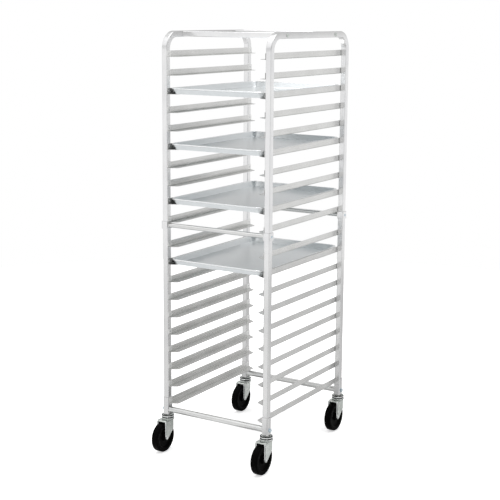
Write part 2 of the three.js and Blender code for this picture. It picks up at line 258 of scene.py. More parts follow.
# Painted shade: the tube is darkened towards the floor and along the top of the frame.
painted_shade_between(TUBE_METAL, LOWER_SHADE_HEIGHTS, LOWER_SHADE_TONE)
painted_shade_between(TUBE_METAL, TOP_SHADE_HEIGHTS, TOP_SHADE_TONE)
print("tube painted darker below", LOWER_SHADE_HEIGHTS[0], "and above", TOP_SHADE_HEIGHTS[0])

# %% [markdown]
# A sheet pan is rolled sheet, a little bluer than the tube and dulled by the oven, with short rubs
# from being stacked. Under all that it still mirrors its surroundings faintly, and one lobe of
# reflection can't be dull and sharp at once, so a clear coat carries the sharper one. The rim takes
# the recipe of the lined metals: it is polished smoother by the runners, and its much lighter tone is
# a painted highlight along the roll.

# %% Pan sheet
PAN_CLOUDS = (7, 7, 7)
PAN_RUBS = (260, 30, 60)
RIM_GRAIN = (200, 200, 600)
PAN_COAT_ROUGH = 0.17
PAN_COAT_IOR = 2.2


def pan_sheet():
    material, nodes, links, shader = shader_tree("pan_sheet")
    shader.inputs["Metallic"].default_value = 1.0
    clouds = stretched_noise(nodes, links, PAN_CLOUDS, detail=5)
    rubs = stretched_noise(nodes, links, PAN_RUBS, detail=2)
    tone_between(nodes, links, clouds, shader, (0.80, 0.84, 0.86), (0.86, 0.895, 0.91))
    wander(nodes, links, clouds, shader, 0.42, 0.5)
    bump_from(nodes, links, rubs, shader, 0.12)
    shader.inputs["Coat Weight"].default_value = 1.0
    shader.inputs["Coat Roughness"].default_value = PAN_COAT_ROUGH
    shader.inputs["Coat IOR"].default_value = PAN_COAT_IOR
    return material


PAN_METAL = pan_sheet()
# The rim finish is smoother than the pan, and its lighter tone is a painted highlight along the roll.
RIM_PAINTED_HIGHLIGHT_METAL = lined_metal("pan_rim_painted_highlight", (0.92, 0.94, 0.95), (0.97, 0.98, 0.985), RIM_GRAIN, 0.2, lines=0.06)
print("pan finishes", PAN_METAL.name, RIM_PAINTED_HIGHLIGHT_METAL.name)

# %% [markdown]
# The casters are pressed steel with bright zinc on it: greener and darker than aluminium, smooth,
# and mottled where the plating pooled. The bolts have the bluish zinc of ordinary fasteners. One
# round noise gives the pools to the tone, the roughness and the bump together, because on plating
# all three change at the same spots.

# %% Zinc, bolts and rivets
POOL_SCALE = (60, 60, 60)


def plated(name, dark, light, rough):
    material, nodes, links, shader = shader_tree(name)
    shader.inputs["Metallic"].default_value = 1.0
    pools = stretched_noise(nodes, links, POOL_SCALE, detail=4, roughness=0.5)
    tone_between(nodes, links, pools, shader, dark, light)
    wander(nodes, links, pools, shader, rough - 0.05, rough + 0.07)
    bump_from(nodes, links, pools, shader, 0.05)
    return material


ZINC = plated("bright_zinc", (0.60, 0.64, 0.61), (0.78, 0.81, 0.78), 0.24)
BOLT_STEEL = plated("blue_zinc_bolt", (0.58, 0.68, 0.75), (0.76, 0.85, 0.90), 0.22)
# The bright axle finish also serves as a painted highlight on the forward faces of the fork legs.
AXLE_STEEL_AND_PAINTED_HIGHLIGHT = plated("bright_axle_and_painted_highlight", (0.78, 0.80, 0.80), (0.90, 0.91, 0.91), 0.16)
RIVET_METAL = plated("rivet_aluminium", (0.70, 0.71, 0.72), (0.82, 0.83, 0.84), 0.3)
print("plated", ZINC.name, BOLT_STEEL.name, AXLE_STEEL_AND_PAINTED_HIGHLIGHT.name, RIVET_METAL.name)

# %% [markdown]
# The wheels are hard black rubber. It isn't a single black: dust and scuffs grey it in patches, and
# fine pores break its sheen. So a coarse noise sets the tone and the roughness, and a fine one the
# bump. The black rings of painted shadow at the casters' swivels take the same material.

# %% Rubber
SCUFF_SCALE = (90, 90, 90)
PORE_SCALE = (1400, 1400, 1400)
RUBBER_SPECULAR = 0.03


def moulded_rubber(name, dark, light, rough):
    material, nodes, links, shader = shader_tree(name)
    scuffs = stretched_noise(nodes, links, SCUFF_SCALE, detail=8, roughness=0.7)
    pores = stretched_noise(nodes, links, PORE_SCALE, detail=2)
    tone_between(nodes, links, scuffs, shader, dark, light, start=0.45, stop=0.8)
    wander(nodes, links, scuffs, shader, rough - 0.08, rough + 0.1)
    bump_from(nodes, links, pores, shader, 0.2)
    shader.inputs["Specular IOR Level"].default_value = RUBBER_SPECULAR
    return material


RUBBER_AND_PAINTED_SHADOW = moulded_rubber("black_rubber", (0.0008, 0.0008, 0.0008), (0.0035, 0.003, 0.0026), 0.36)
print("finishes", len(bpy.data.materials))

# %% [markdown]
# ## Mesh helpers
# A piece starts as a bmesh. `finish` merges doubles, turns the faces outwards, marks the edges that
# should look crisp and hands the object to the frame: which body it rides and which material slot it
# takes its finish from. It also hides the CAD nodes it stands for. The piece stays at the origin, with
# its place in its mesh, so that its pattern never slides.

# %% Finishing a piece
CRISP = math.radians(33)
MERGE = 1e-6


def merge_doubles(bm):
    bmesh.ops.remove_doubles(bm, verts=bm.verts[:], dist=MERGE)


def finish(bm, name, body, materials, nodes=()):
    merge_doubles(bm)
    bmesh.ops.recalc_face_normals(bm, faces=bm.faces[:])
    for face in bm.faces:
        face.smooth = True
    for edge in bm.edges:
        edge.smooth = len(edge.link_faces) == 2 and edge.calc_face_angle(0) < CRISP
    open_edges = sum(1 for edge in bm.edges if not edge.is_manifold)
    mesh = bpy.data.meshes.new(name)
    bm.to_mesh(mesh)
    bm.free()
    for material in materials:
        mesh.materials.append(material)
    piece = bpy.data.objects.new(name, mesh)
    bpy.context.scene.collection.objects.link(piece)
    weighted = piece.modifiers.new("even_shading", "WEIGHTED_NORMAL")
    weighted.keep_sharp = True
    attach(piece, body)
    if nodes:
        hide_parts(*nodes)
    if open_edges:
        print("open edges on", name, open_edges)
    return piece


print("edges stay crisp above", round(math.degrees(CRISP)), "degrees")

# %% [markdown]
# Most of the rack is a section carried along a path. A section is either a closed face, for tube and
# bar, or an open line, for folded sheet, and both get their corners from the same bevel. The corners
# are rounded while the section is still flat, because then the whole length inherits them.

# %% Sections
def new_verts(made):
    return [g for g in made if isinstance(g, bmesh.types.BMVert)]


def round_corners(bm, verts, radius, segments):
    bmesh.ops.bevel(
        bm, geom=verts, offset=radius, offset_type="OFFSET", segments=segments,
        profile=0.5, affect="VERTICES", material=-1,
    )


def rounded_face(bm, width, length, corner, segments):
    """A flat face in the XY plane with round corners, centred on the origin."""
    made = bmesh.ops.create_grid(bm, x_segments=1, y_segments=1, size=0.5)
    bmesh.ops.scale(bm, verts=made["verts"], vec=(width, length, 1))
    before = set(bm.faces) - set(made["verts"][0].link_faces)
    round_corners(bm, made["verts"], corner, segments)
    return next(face for face in bm.faces if face not in before)


def drawn_line(bm, points):
    """A line of edges through the points, with its vertices in that order."""
    verts = [bm.verts.new(point) for point in points]
    edges = [bm.edges.new(pair) for pair in zip(verts, verts[1:])]
    return verts, edges


def line_to_sheet(bm, step):
    """Extrudes every edge by one step, which makes a folded sheet of a line."""
    made = bmesh.ops.extrude_edge_only(bm, edges=bm.edges[:])["geom"]
    bmesh.ops.translate(bm, verts=new_verts(made), vec=step)


print("sections ready")

# %% [markdown]
# A closed face is carried in two ways: pushed along a straight, or swung round a bend. A curve with
# a bevel object would carry it too, but it spreads its rings evenly, and here the straights need
# none. Extruding leaves the first face standing inside the tube, so it is cleared away each time.

# %% Sweeps
def clear_inside(bm, end):
    """Removes the faces that a sweep leaves inside, where every edge already has two walls."""
    inside = [f for f in bm.faces if f is not end and all(len(e.link_faces) > 2 for e in f.edges)]
    bmesh.ops.delete(bm, geom=inside, context="FACES_ONLY")
    return end


def push(bm, face, step):
    """Extrudes one face by a step and returns the new end face."""
    made = bmesh.ops.extrude_face_region(bm, geom=[face])["geom"]
    bmesh.ops.translate(bm, verts=new_verts(made), vec=step)
    return clear_inside(bm, next(g for g in made if isinstance(g, bmesh.types.BMFace)))


def swing(bm, face, centre, axis, angle, steps):
    """Sweeps one face round a centre and returns the new end face."""
    geom = [face, *face.edges, *face.verts]
    made = bmesh.ops.spin(
        bm, geom=geom, cent=centre, axis=axis, dvec=(0, 0, 0), angle=angle, steps=steps,
        use_merge=False, use_normal_flip=False, use_duplicate=False,
    )["geom_last"]
    return clear_inside(bm, next(g for g in made if isinstance(g, bmesh.types.BMFace)))


print("sweeps ready")

# %% [markdown]
# Round things are turned, as on a lathe: an outline of (radius, height) points is spun a full turn
# about an axis. Cylinders and tori set into one another would leave seams where they cross. Sharp
# edges are eased with a narrow bevel, because an edge that catches no light looks cut from paper.

# %% Turned shapes and eased edges
def turned(bm, outline, centre, axis, steps=32):
    axis = Vector(axis).normalized()
    across = axis.orthogonal().normalized()
    points = [Vector(centre) + across * radius + axis * height for radius, height in outline]
    verts, edges = drawn_line(bm, points)
    bmesh.ops.spin(
        bm, geom=verts + edges, cent=centre, axis=axis, dvec=(0, 0, 0), angle=math.tau,
        steps=steps, use_merge=True, use_normal_flip=False, use_duplicate=False,
    )
    merge_doubles(bm)


def arc(centre_r, centre_h, radius, start, stop, steps):
    """Points on a round stretch of an outline, angles in degrees."""
    points = []
    for step in range(steps + 1):
        angle = math.radians(start + (stop - start) * step / steps)
        points.append((centre_r + radius * math.cos(angle), centre_h + radius * math.sin(angle)))
    return points


def ease_edges(bm, edges, width, segments=2):
    bmesh.ops.bevel(
        bm, geom=edges, offset=width, offset_type="OFFSET", segments=segments,
        profile=0.5, affect="EDGES", clamp_overlap=True, material=-1,
    )


def sharp_edges(bm, degrees):
    limit = math.radians(degrees)
    return [e for e in bm.edges if len(e.link_faces) == 2 and e.calc_face_angle(0) > limit]


print("turning ready")

# %% [markdown]
# ## Side frames
# Each side is one length of square tube: up the front post, round a wide bend, along the top and
# down the rear post. The face of the tube's section is pushed up, swung a quarter turn, pushed
# along the top, swung again and pushed down, which is how a tube bender works too.

# %% Side frames
BEND_RADIUS = 0.0623
TUBE_CORNER = 0.0032
BEND_STEPS = 18
CORNER_STEPS = 4


def side_frame(side_name):
    node = f"{side_name}_side_frame"
    low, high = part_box(node)
    size = high.x - low.x
    centre_x = (low.x + high.x) / 2
    front = low.y + size / 2
    rear = high.y - size / 2
    bend_z = high.z - size / 2 - BEND_RADIUS
    front_bend = (centre_x, front + BEND_RADIUS, bend_z)
    rear_bend = (centre_x, rear - BEND_RADIUS, bend_z)
    bm = bmesh.new()
    section = rounded_face(bm, size, size, TUBE_CORNER, CORNER_STEPS)
    bmesh.ops.translate(bm, verts=bm.verts[:], vec=(centre_x, front, low.z))
    end = push(bm, section, (0, 0, bend_z - low.z))
    end = swing(bm, end, front_bend, (-1, 0, 0), math.pi / 2, BEND_STEPS)
    end = push(bm, end, (0, rear - front - 2 * BEND_RADIUS, 0))
    end = swing(bm, end, rear_bend, (-1, 0, 0), math.pi / 2, BEND_STEPS)
    push(bm, end, (0, 0, low.z - bend_z))
    name = f"{side_name}_bent_tube"
    return finish(bm, name, "rack_frame", [TUBE_METAL], [node])


for side_name in SIDES:
    side_frame(side_name)
print("side frames bent at", BEND_RADIUS)

# %% [markdown]
# ## Top cross-members
# Two lengths of square tube lie between the top rails and keep the sides apart. A cube with
# bevelled edges would do, but the flat section pushed across gives the very corners of the side
# frames, and no bevel where the bar meets the rail.

# %% Top cross-members
def square_bar(end):
    node = f"{end}_top_crossmember"
    low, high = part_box(node)
    centre = (low + high) / 2
    bm = bmesh.new()
    section = rounded_face(bm, high.z - low.z, high.y - low.y, TUBE_CORNER, CORNER_STEPS)
    upright_to_side = Vector((0, 0, 1)).rotation_difference(Vector((1, 0, 0))).to_matrix()
    bmesh.ops.rotate(bm, verts=bm.verts[:], cent=(0, 0, 0), matrix=upright_to_side)
    bmesh.ops.translate(bm, verts=bm.verts[:], vec=(low.x, centre.y, centre.z))
    push(bm, section, (high.x - low.x, 0, 0))
    return finish(bm, f"{end}_top_bar", "rack_frame", [RAIL_PAINTED_HIGHLIGHT_METAL], [node])


for end in ENDS:
    square_bar(end)
print("top cross-members", len(ENDS))

# %% [markdown]
# ## Round cross bars
# Whatever sits at a post is placed from the post's centre line, and the base bar from the foot of
# its sleeve. These places could be typed in again for every piece, but then a change of the rack's
# size would pull the pieces apart, so they are worked out once from the frame.

# %% Places of the posts and the bars
HALF_TUBE = (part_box("left_side_frame")[1].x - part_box("left_side_frame")[0].x) / 2
POST_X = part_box("right_side_frame")[1].x - HALF_TUBE
POST_Y = {
    end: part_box("left_side_frame")[i].y - ENDS[end] * HALF_TUBE for i, end in enumerate(ENDS)
}
MID_BAR_Z = sum(corner.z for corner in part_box("front_mid_crossbar")) / 2
SLEEVE_BOTTOM = 0.155
BASE_BAR_Z = SLEEVE_BOTTOM + 0.0236
print("posts at", round(POST_X, 4), "bars at", round(MID_BAR_Z, 4), round(BASE_BAR_Z, 4))

# %% [markdown]
# The mid and base bars are round tube welded to a square collar or sleeve at each post. A cylinder
# and two tori would leave seams, so a bar is one outline spun about its own axis: the straight tube
# with a small weld bead swelling at each end. It needs no more rings, because the bar is straight.

# %% Round bars
MID_BAR_RADIUS = 0.0095
BASE_BAR_RADIUS = 0.0127
BEAD = 0.0022
BAR_GAP = 0.0004
BAR_STEPS = 40


def round_bar(name, node, radius, y, z):
    half_length = POST_X - HALF_TUBE - BAR_GAP
    bead = [
        (radius + BEAD, half_length),
        *arc(radius, half_length - BEAD, BEAD, 60, -20, 3),
        (radius, half_length - 3 * BEAD),
    ]
    outline = [(0, half_length), *bead, *[(r, -h) for r, h in reversed(bead)], (0, -half_length)]
    bm = bmesh.new()
    turned(bm, outline, (0, y, z), (1, 0, 0), BAR_STEPS)
    return finish(bm, name, "rack_frame", [ROUND_METAL], [node])


for end, y in POST_Y.items():
    round_bar(f"{end}_mid_bar", f"{end}_mid_crossbar", MID_BAR_RADIUS, y, MID_BAR_Z)
    round_bar(f"{end}_base_bar", f"{end}_base_crossbar", BASE_BAR_RADIUS, y, BASE_BAR_Z)
print("round bars", 2 * len(ENDS))

# %% [markdown]
# ## Collars and sleeves
# A collar is a short square ring round the post, and a sleeve is a taller one that stands on the
# caster. Both have to leave room for a runner on the post's inner face, so they are open on that
# side, like a channel. A box with the post cut out of it would need a boolean. Here a line of four
# points with two rounded corners is drawn as the channel's outside, extruded upwards, turned to
# face outwards and only then given its wall.

# %% Rings round a post
COLLAR_WALL = 0.004
SLEEVE_WALL = 0.0018
COLLAR_EASE = 0.0008
SLEEVE_EASE = 0.0005
FIT = 0.0003
RING_CORNER = 0.006


def post_ring(name, side, end, wall, heights, ease):
    half = HALF_TUBE + FIT + wall
    inner = -side * HALF_TUBE
    bm = bmesh.new()
    points = [(inner, -half, 0), (side * half, -half, 0), (side * half, half, 0), (inner, half, 0)]
    verts, _ = drawn_line(bm, points)
    round_corners(bm, verts[1:3], RING_CORNER, 4)
    line_to_sheet(bm, (0, 0, heights[1] - heights[0]))
    merge_doubles(bm)
    bmesh.ops.recalc_face_normals(bm, faces=bm.faces[:])
    for face in bm.faces:
        if face.calc_center_median().xy.dot(face.normal.xy) < 0:
            face.normal_flip()
    bmesh.ops.solidify(bm, geom=bm.faces[:], thickness=wall)
    rims = [e for e in sharp_edges(bm, 50) if abs(e.verts[0].co.z - e.verts[1].co.z) < MERGE]
    ease_edges(bm, rims, ease)
    bmesh.ops.translate(bm, verts=bm.verts[:], vec=(side * POST_X, POST_Y[end], heights[0]))
    return finish(bm, name, "rack_frame", [TUBE_METAL])


COLLAR_HEIGHTS = [corner.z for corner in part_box("front_mid_crossbar")]
SLEEVE_HEIGHTS = (SLEEVE_BOTTOM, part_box("front_base_crossbar")[1].z)
for end in ENDS:
    for side_name, side in SIDES.items():
        corner = f"{end}_{side_name}"
        post_ring(f"{corner}_collar", side, end, COLLAR_WALL, COLLAR_HEIGHTS, COLLAR_EASE)
        post_ring(f"{corner}_sleeve", side, end, SLEEVE_WALL, SLEEVE_HEIGHTS, SLEEVE_EASE)
print("collars and sleeves", 4 * len(ENDS))

# %% [markdown]
# ## Runners
# A runner is an extruded angle. Its ledge is cut back at both ends and the cut corner is rounded, so
# that a pan finds its way in. Cutting a finished angle would leave its cut faces to be closed, so
# the angle is cut while it is still a sheet without thickness: a line of three points is bent and
# extruded along the rack, two planes trim the ledge, and the corners left are rounded.

# %% Trimming a ledge
LEDGE_CUT = 0.021
LEDGE_ROUND = 0.0075
FOLD_RADIUS = 0.0032


def with_borders(faces):
    return list(dict.fromkeys(part for face in faces for part in (face, *face.edges, *face.verts)))


def trim_ledge(bm, side, outer, inner, low, high):
    """Cuts both ends of the ledge back towards its inner edge and rounds the corner left."""
    for end, y in ((-1, low.y), (1, high.y)):
        ledge = [f for f in bm.faces if f.calc_center_median().z < low.z + FOLD_RADIUS]
        away = Vector((-LEDGE_CUT * side, end * abs(outer - inner), 0)).normalized()
        bmesh.ops.bisect_plane(
            bm, geom=with_borders(ledge), plane_co=(outer, y, low.z), plane_no=away,
            clear_outer=True,
        )
    merge_doubles(bm)
    tips = [v for v in bm.verts if abs(v.co.x - inner) < MERGE and len(v.link_edges) == 2]
    round_corners(bm, tips, LEDGE_ROUND, 5)


print("ledges are cut back by", LEDGE_CUT)

# %% [markdown]
# A runner's fold takes a darker finish, which is painted shade, and the ends of its upright, where
# they lie against the posts, take a lighter one, which is a painted reflection of the posts. A mask
# painted over the runner could say so too, but faces with their own material are crisp and cost
# nothing. The upright is divided only where the lighter ends stop.

# %% Painted shade in the fold, painted reflection at the ends
# Length of the lighter ends, which carry a painted reflection of the posts.
PAINTED_REFLECTION_LENGTH = 2 * HALF_TUBE


def mark_painted_fold_and_ends(bm, low, high):
    """Gives the fold's slanted faces the second finish, a painted shade, and the upright's ends the
    third, a painted reflection of the posts.
    """
    for y in (low.y + PAINTED_REFLECTION_LENGTH + 0.0005, high.y - PAINTED_REFLECTION_LENGTH - 0.0005):
        upright = [f for f in bm.faces if f.calc_center_median().z > low.z + FOLD_RADIUS]
        bmesh.ops.bisect_plane(
            bm, geom=with_borders(upright), plane_co=(0, y, 0), plane_no=(0, 1, 0),
        )
    for face in bm.faces:
        middle = face.calc_center_median()
        painted_reflection_end = not low.y + PAINTED_REFLECTION_LENGTH < middle.y < high.y - PAINTED_REFLECTION_LENGTH
        # Painted shade on the fold's slanted faces; painted reflection of the posts on the upright's
        # ends.
        if 0.2 < abs(face.normal.z) < 0.97 and abs(face.normal.x) > 0.2:
            face.material_index = 1
        # Painted reflection of the posts on the upright's ends.
        elif middle.z > low.z + FOLD_RADIUS and painted_reflection_end:
            face.material_index = 2


print("bright ends are", round(PAINTED_REFLECTION_LENGTH, 4), "long")

# %% [markdown]
# With its helpers ready, a runner is short: draw the line, round its fold, extrude it, trim it,
# turn its faces outwards and give it its wall. The forty runners could share one mesh, moved to
# forty places, but a finished piece keeps its place in its mesh, so each is made at its own level.

# %% Runners
RUNNER_THICK = 0.0016


def runner(side_name, level):
    side = SIDES[side_name]
    node = f"{side_name}_runner_{level:02d}"
    low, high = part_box(node)
    outer, inner = (low.x, high.x) if side < 0 else (high.x, low.x)
    bm = bmesh.new()
    points = [(outer, low.y, high.z), (outer, low.y, low.z), (inner, low.y, low.z)]
    verts, _ = drawn_line(bm, points)
    round_corners(bm, verts[1:2], FOLD_RADIUS, 3)
    line_to_sheet(bm, (0, high.y - low.y, 0))
    trim_ledge(bm, side, outer, inner, low, high)
    outward = Vector((side, 0, -1))
    for face in bm.faces:
        if face.normal.dot(outward) < 0:
            face.normal_flip()
    bmesh.ops.solidify(bm, geom=bm.faces[:], thickness=RUNNER_THICK)
    mark_painted_fold_and_ends(bm, low, high)
    finishes = [RUNNER_METAL, FOLD_PAINTED_SHADE_METAL, END_PAINTED_REFLECTION_METAL]
    name = f"{side_name}_angle_{level:02d}"
    return finish(bm, name, "rack_frame", finishes, [node])


for level in range(1, LEVELS + 1):
    for side_name in SIDES:
        runner(side_name, level)
print("runners", 2 * LEVELS)

# %% [markdown]
# ## Sheet pans
# A pan is pressed from one sheet: a flat base, walls that lean out, and a rim rolled over a wire.
# A box with its walls scaled out would have the wrong corners. Every part of the pan is the same
# rounded rectangle, only larger or smaller, so the pan is a stack of such loops bridged together.
# The outline walks once round the cut sheet: over the inside, round the roll and back outside.

# %% Pan outline
PAN_CORNER = 0.034
PAN_ROLL = 0.0031
PAN_SHEET = 0.0012
PAN_BASE_INSET = 0.0182
BASE_EDGE = 0.0025
PAN_LEAST_CORNER = 0.004
PAN_CORNER_STEPS = 8


def pan_outline(height):
    """(inset from the rim's outside, height above the pan's underside) from floor to underside."""
    floor = PAN_BASE_INSET + BASE_EDGE
    inside = [
        (floor, PAN_SHEET),
        (PAN_BASE_INSET - 0.0008, PAN_SHEET + 0.0006),
        (PAN_BASE_INSET - 0.0025, PAN_SHEET + 0.003),
    ]
    roll = arc(PAN_ROLL, height - PAN_ROLL, PAN_ROLL, 0, 300, 12)
    outside = [
        (PAN_BASE_INSET - 0.0036, PAN_SHEET + 0.0022),
        (PAN_BASE_INSET - 0.0022, 0.0006),
        (floor, 0),
    ]
    return inside + roll + outside


def pan_loop(bm, width, length, inset, z):
    corner = max(PAN_CORNER - inset, PAN_LEAST_CORNER)
    face = rounded_face(bm, width - 2 * inset, length - 2 * inset, corner, PAN_CORNER_STEPS)
    bmesh.ops.translate(bm, verts=list(face.verts), vec=(0, 0, z))
    return face


print("pan rims are rolled to", PAN_ROLL)

# %% [markdown]
# The first loop keeps its face and becomes the pan's floor, and the last one its underside. The faces
# of the loops between them would stand inside the wall, so they go. The faces of the roll take the
# rim's finish, which is smoother from use and lighter as a painted highlight. A separate ring for the
# rim would be easier to colour, but it would leave a seam along the wall.

# %% Sheet pans
def sheet_pan(level):
    node = f"sheet_pan_{level:02d}"
    low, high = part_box(node)
    centre = (low + high) / 2
    height = high.z - low.z
    bm = bmesh.new()
    loops = [pan_loop(bm, high.x - low.x, high.y - low.y, *point) for point in pan_outline(height)]
    for loop, after in zip(loops, loops[1:]):
        bmesh.ops.bridge_loops(bm, edges=list(loop.edges) + list(after.edges))
    bmesh.ops.delete(bm, geom=loops[1:-1], context="FACES_ONLY")
    for face in bm.faces:
        # Painted highlight: the roll's faces take the lighter rim finish.
        if face.calc_center_median().z > height - 2.2 * PAN_ROLL:
            face.material_index = 1
    bmesh.ops.translate(bm, verts=bm.verts[:], vec=(centre.x, centre.y, low.z))
    name = f"pan_{level:02d}"
    return finish(bm, name, name, [PAN_METAL, RIM_PAINTED_HIGHLIGHT_METAL], [node])


for level in PAN_LEVELS:
    sheet_pan(level)
print("pans", len(PAN_LEVELS))

# %% [markdown]
# ## Bolts and rivets
# The fasteners are small but they catch the light. A mushroom head, a button head and a rivet are
# all the same turned outline, a low dome on a thin rim, in other sizes. A squashed sphere would
# lack the rim, which casts the thin shadow that shows the head to be a separate piece.

# %% Domed heads
DOME_STEPS = 5


def domed_head(bm, centre, axis, radius, height, rim, steps=24):
    """A low dome on a thin rim, its flat side at centre."""
    span = radius - rim * 0.2
    sphere = (span * span + height * height) / (2 * height)
    sweep = math.degrees(math.asin(span / sphere))
    dome = arc(0, rim + height - sphere, sphere, 90 - sweep, 90, DOME_STEPS)
    outline = [(0, 0), (radius, 0), (radius, rim * 0.7), *dome[:-1], (0, rim + height)]
    turned(bm, outline, centre, axis, steps)


def heads(name, places, axis, size, material, steps=24):
    """One piece of domed heads of one size, which is (radius, height, rim)."""
    bm = bmesh.new()
    for place in places:
        domed_head(bm, place, axis, *size, steps)
    return finish(bm, name, "rack_frame", [material])


TOP_BOLT = (0.0086, 0.0044, 0.0012)
TOP_RAIL_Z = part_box("left_side_frame")[1].z - HALF_TUBE
for side_name, side in SIDES.items():
    for end in ENDS:
        y = sum(corner.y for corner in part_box(f"{end}_top_crossmember")) / 2
        place = (side * (POST_X + HALF_TUBE), y, TOP_RAIL_Z)
        heads(f"{end}_{side_name}_top_bolt", [place], (side, 0, 0), TOP_BOLT, ZINC)
print("top bolts", 2 * len(ENDS))

# %% [markdown]
# A button head closes each collar, and a hex bolt on a washer goes through each sleeve, since it has
# to hold the caster. The hex head is a cone of six segments with equal ends, which is a prism, and
# the edges at its ends are chamfered. The washer is turned under it. A turned head with six flats
# cut off would be truer, but the difference is thinner than the chamfer.

# %% Bolts at the collars and the sleeves
COLLAR_BOLT = (0.0055, 0.0022, 0.001)
WASHER_RADIUS = 0.0088
WASHER_THICK = 0.0013
HEX_FLATS = 0.0142
HEX_HEIGHT = 0.0058
HEX_CHAMFER = 0.0008
WASHER_EASE = 0.0004


def hex_bolt(name, place, axis):
    bm = bmesh.new()
    washer = [(0, 0), (WASHER_RADIUS, 0), (WASHER_RADIUS, WASHER_THICK - WASHER_EASE)]
    washer += [(WASHER_RADIUS - WASHER_EASE, WASHER_THICK), (0, WASHER_THICK)]
    turned(bm, washer, place, axis, 28)
    corner_radius = HEX_FLATS / math.sqrt(3)
    prism = bmesh.ops.create_cone(
        bm, cap_ends=True, segments=6, radius1=corner_radius, radius2=corner_radius,
        depth=HEX_HEIGHT,
    )["verts"]
    turn = Vector((0, 0, 1)).rotation_difference(Vector(axis)).to_matrix()
    bmesh.ops.rotate(bm, verts=prism, cent=(0, 0, 0), matrix=turn)
    rise = Vector(axis) * (WASHER_THICK + HEX_HEIGHT / 2)
    bmesh.ops.translate(bm, verts=prism, vec=Vector(place) + rise)
    ends = [e for e in sharp_edges(bm, 70) if all(v in prism for v in e.verts)]
    ease_edges(bm, ends, HEX_CHAMFER)
    return finish(bm, name, "rack_frame", [BOLT_STEEL])


COLLAR_OUT = POST_X + HALF_TUBE + FIT + COLLAR_WALL
SLEEVE_OUT = POST_X + HALF_TUBE + FIT + SLEEVE_WALL
for end, y in POST_Y.items():
    for side_name, side in SIDES.items():
        corner = f"{end}_{side_name}"
        axis = (side, 0, 0)
        collar = (side * COLLAR_OUT, y, MID_BAR_Z)
        heads(f"{corner}_collar_bolt", [collar], axis, COLLAR_BOLT, BOLT_STEEL)
        hex_bolt(f"{corner}_sleeve_bolt", (side * SLEEVE_OUT, y, BASE_BAR_Z), axis)
print("collar and sleeve bolts", 4 * len(ENDS))

# %% [markdown]
# Each runner is held by a rivet at either post, with its head on the inner side of the upright.
# The two heads of a runner are joined as one piece, which keeps the list of pieces short, and
# their domes have few steps, because there are eighty of them.

# %% Rivets
RIVET = (0.004, 0.0013, 0.0004)
RIVET_STEPS = 14
RIVET_RISE = 0.55

for level in range(1, LEVELS + 1):
    for side_name, side in SIDES.items():
        low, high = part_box(f"{side_name}_runner_{level:02d}")
        face = (low.x + RUNNER_THICK) if side < 0 else (high.x - RUNNER_THICK)
        z = low.z + RIVET_RISE * (high.z - low.z)
        places = [(face, y, z) for y in POST_Y.values()]
        name = f"{side_name}_rivets_{level:02d}"
        heads(name, places, (-side, 0, 0), RIVET, RIVET_METAL, RIVET_STEPS)
print("rivets", 4 * LEVELS)

# %% [markdown]
# ## Casters
# Each caster turns about its stem. What is fixed to the sleeve rides on the rack: the foot plate,
# the mounting disc and the stem with its riveted end. The race, the crown, the legs and the axle
# ride on the fork, and the wheel on its own body. The places could be read from the CAD boxes, but
# the joints give exactly the lines that the motion model turns the bodies about.

# %% Caster places
JOINTS = {joint["name"]: joint for joint in frame["record"]["behaviour"]["joints"]}
CORNERS = [f"{end}_{side_name}" for end in ENDS for side_name in SIDES]
FORK_TOP = 0.140


def stem_place(corner):
    x, y, _ = JOINTS[f"{corner}_caster_swivel"]["pos_m"]
    return Vector((x, y, 0))


def axle_place(corner):
    return Vector(JOINTS[f"{corner}_wheel_spin"]["pos_m"])


print("trail", round((stem_place("front_left") - axle_place("front_left")).y, 4))

# %% [markdown]
# Two black rings stand for the shadow gaps of a swivel, one above the race and one below it: they are
# painted shadow. From outside they are only dark lines, which a dark stripe in the finish could draw,
# but rings of their own can ride on two bodies: the upper one stays with the rack and the lower one
# goes round with the fork. Both are the same ring, turned at two heights, so the ring's function comes
# first.

# %% Painted shadow rings
UP = (0, 0, 1)
SHADOW_RING_INNER = 0.0226
SHADOW_RING_OUTER = 0.0262
SHADOW_RING_EASE = 0.0006
UPPER_SHADOW_RING = (FORK_TOP + 0.0122, FORK_TOP + 0.0147)
LOWER_SHADOW_RING = (FORK_TOP + 0.0026, FORK_TOP + 0.0068)


# A black ring of painted shadow, set where the swivel has a dark gap.
def shadow_ring(name, corner, body, low, high):
    bm = bmesh.new()
    ring = [(SHADOW_RING_INNER, low), (SHADOW_RING_OUTER - SHADOW_RING_EASE, low), (SHADOW_RING_OUTER, (low + high) / 2)]
    ring += [(SHADOW_RING_OUTER - SHADOW_RING_EASE, high), (SHADOW_RING_INNER, high), (SHADOW_RING_INNER, low)]
    turned(bm, ring, stem_place(corner), UP, 36)
    return finish(bm, name, body, [RUBBER_AND_PAINTED_SHADOW])


print("shadow rings reach out to", SHADOW_RING_OUTER)

# %% [markdown]
# The foot plate closes the sleeve from below and is its section, pushed up by its thickness. The
# mounting disc, the stem and the stem's riveted end are round about one line. They could be three
# cylinders, but one outline makes them all, with the rivet's swelling as an arc.

# %% Foot, disc, stem and upper painted shadow ring
FOOT_THICK = 0.003
FOOT_DROP = 0.0002
DISC_RADIUS = 0.0225
DISC_THICK = 0.0030
DISC_DROP = 0.0003
STEM_RADIUS = 0.006
STEM_END = 0.0024


def caster_foot(corner):
    place = stem_place(corner)
    width = 2 * (HALF_TUBE + FIT + SLEEVE_WALL)
    bm = bmesh.new()
    plate = rounded_face(bm, width, width, RING_CORNER, 4)
    place.z = SLEEVE_BOTTOM - FOOT_DROP
    bmesh.ops.translate(bm, verts=list(plate.verts), vec=place)
    push(bm, plate, (0, 0, FOOT_THICK))
    return finish(bm, f"{corner}_foot_plate", "rack_frame", [TUBE_METAL])


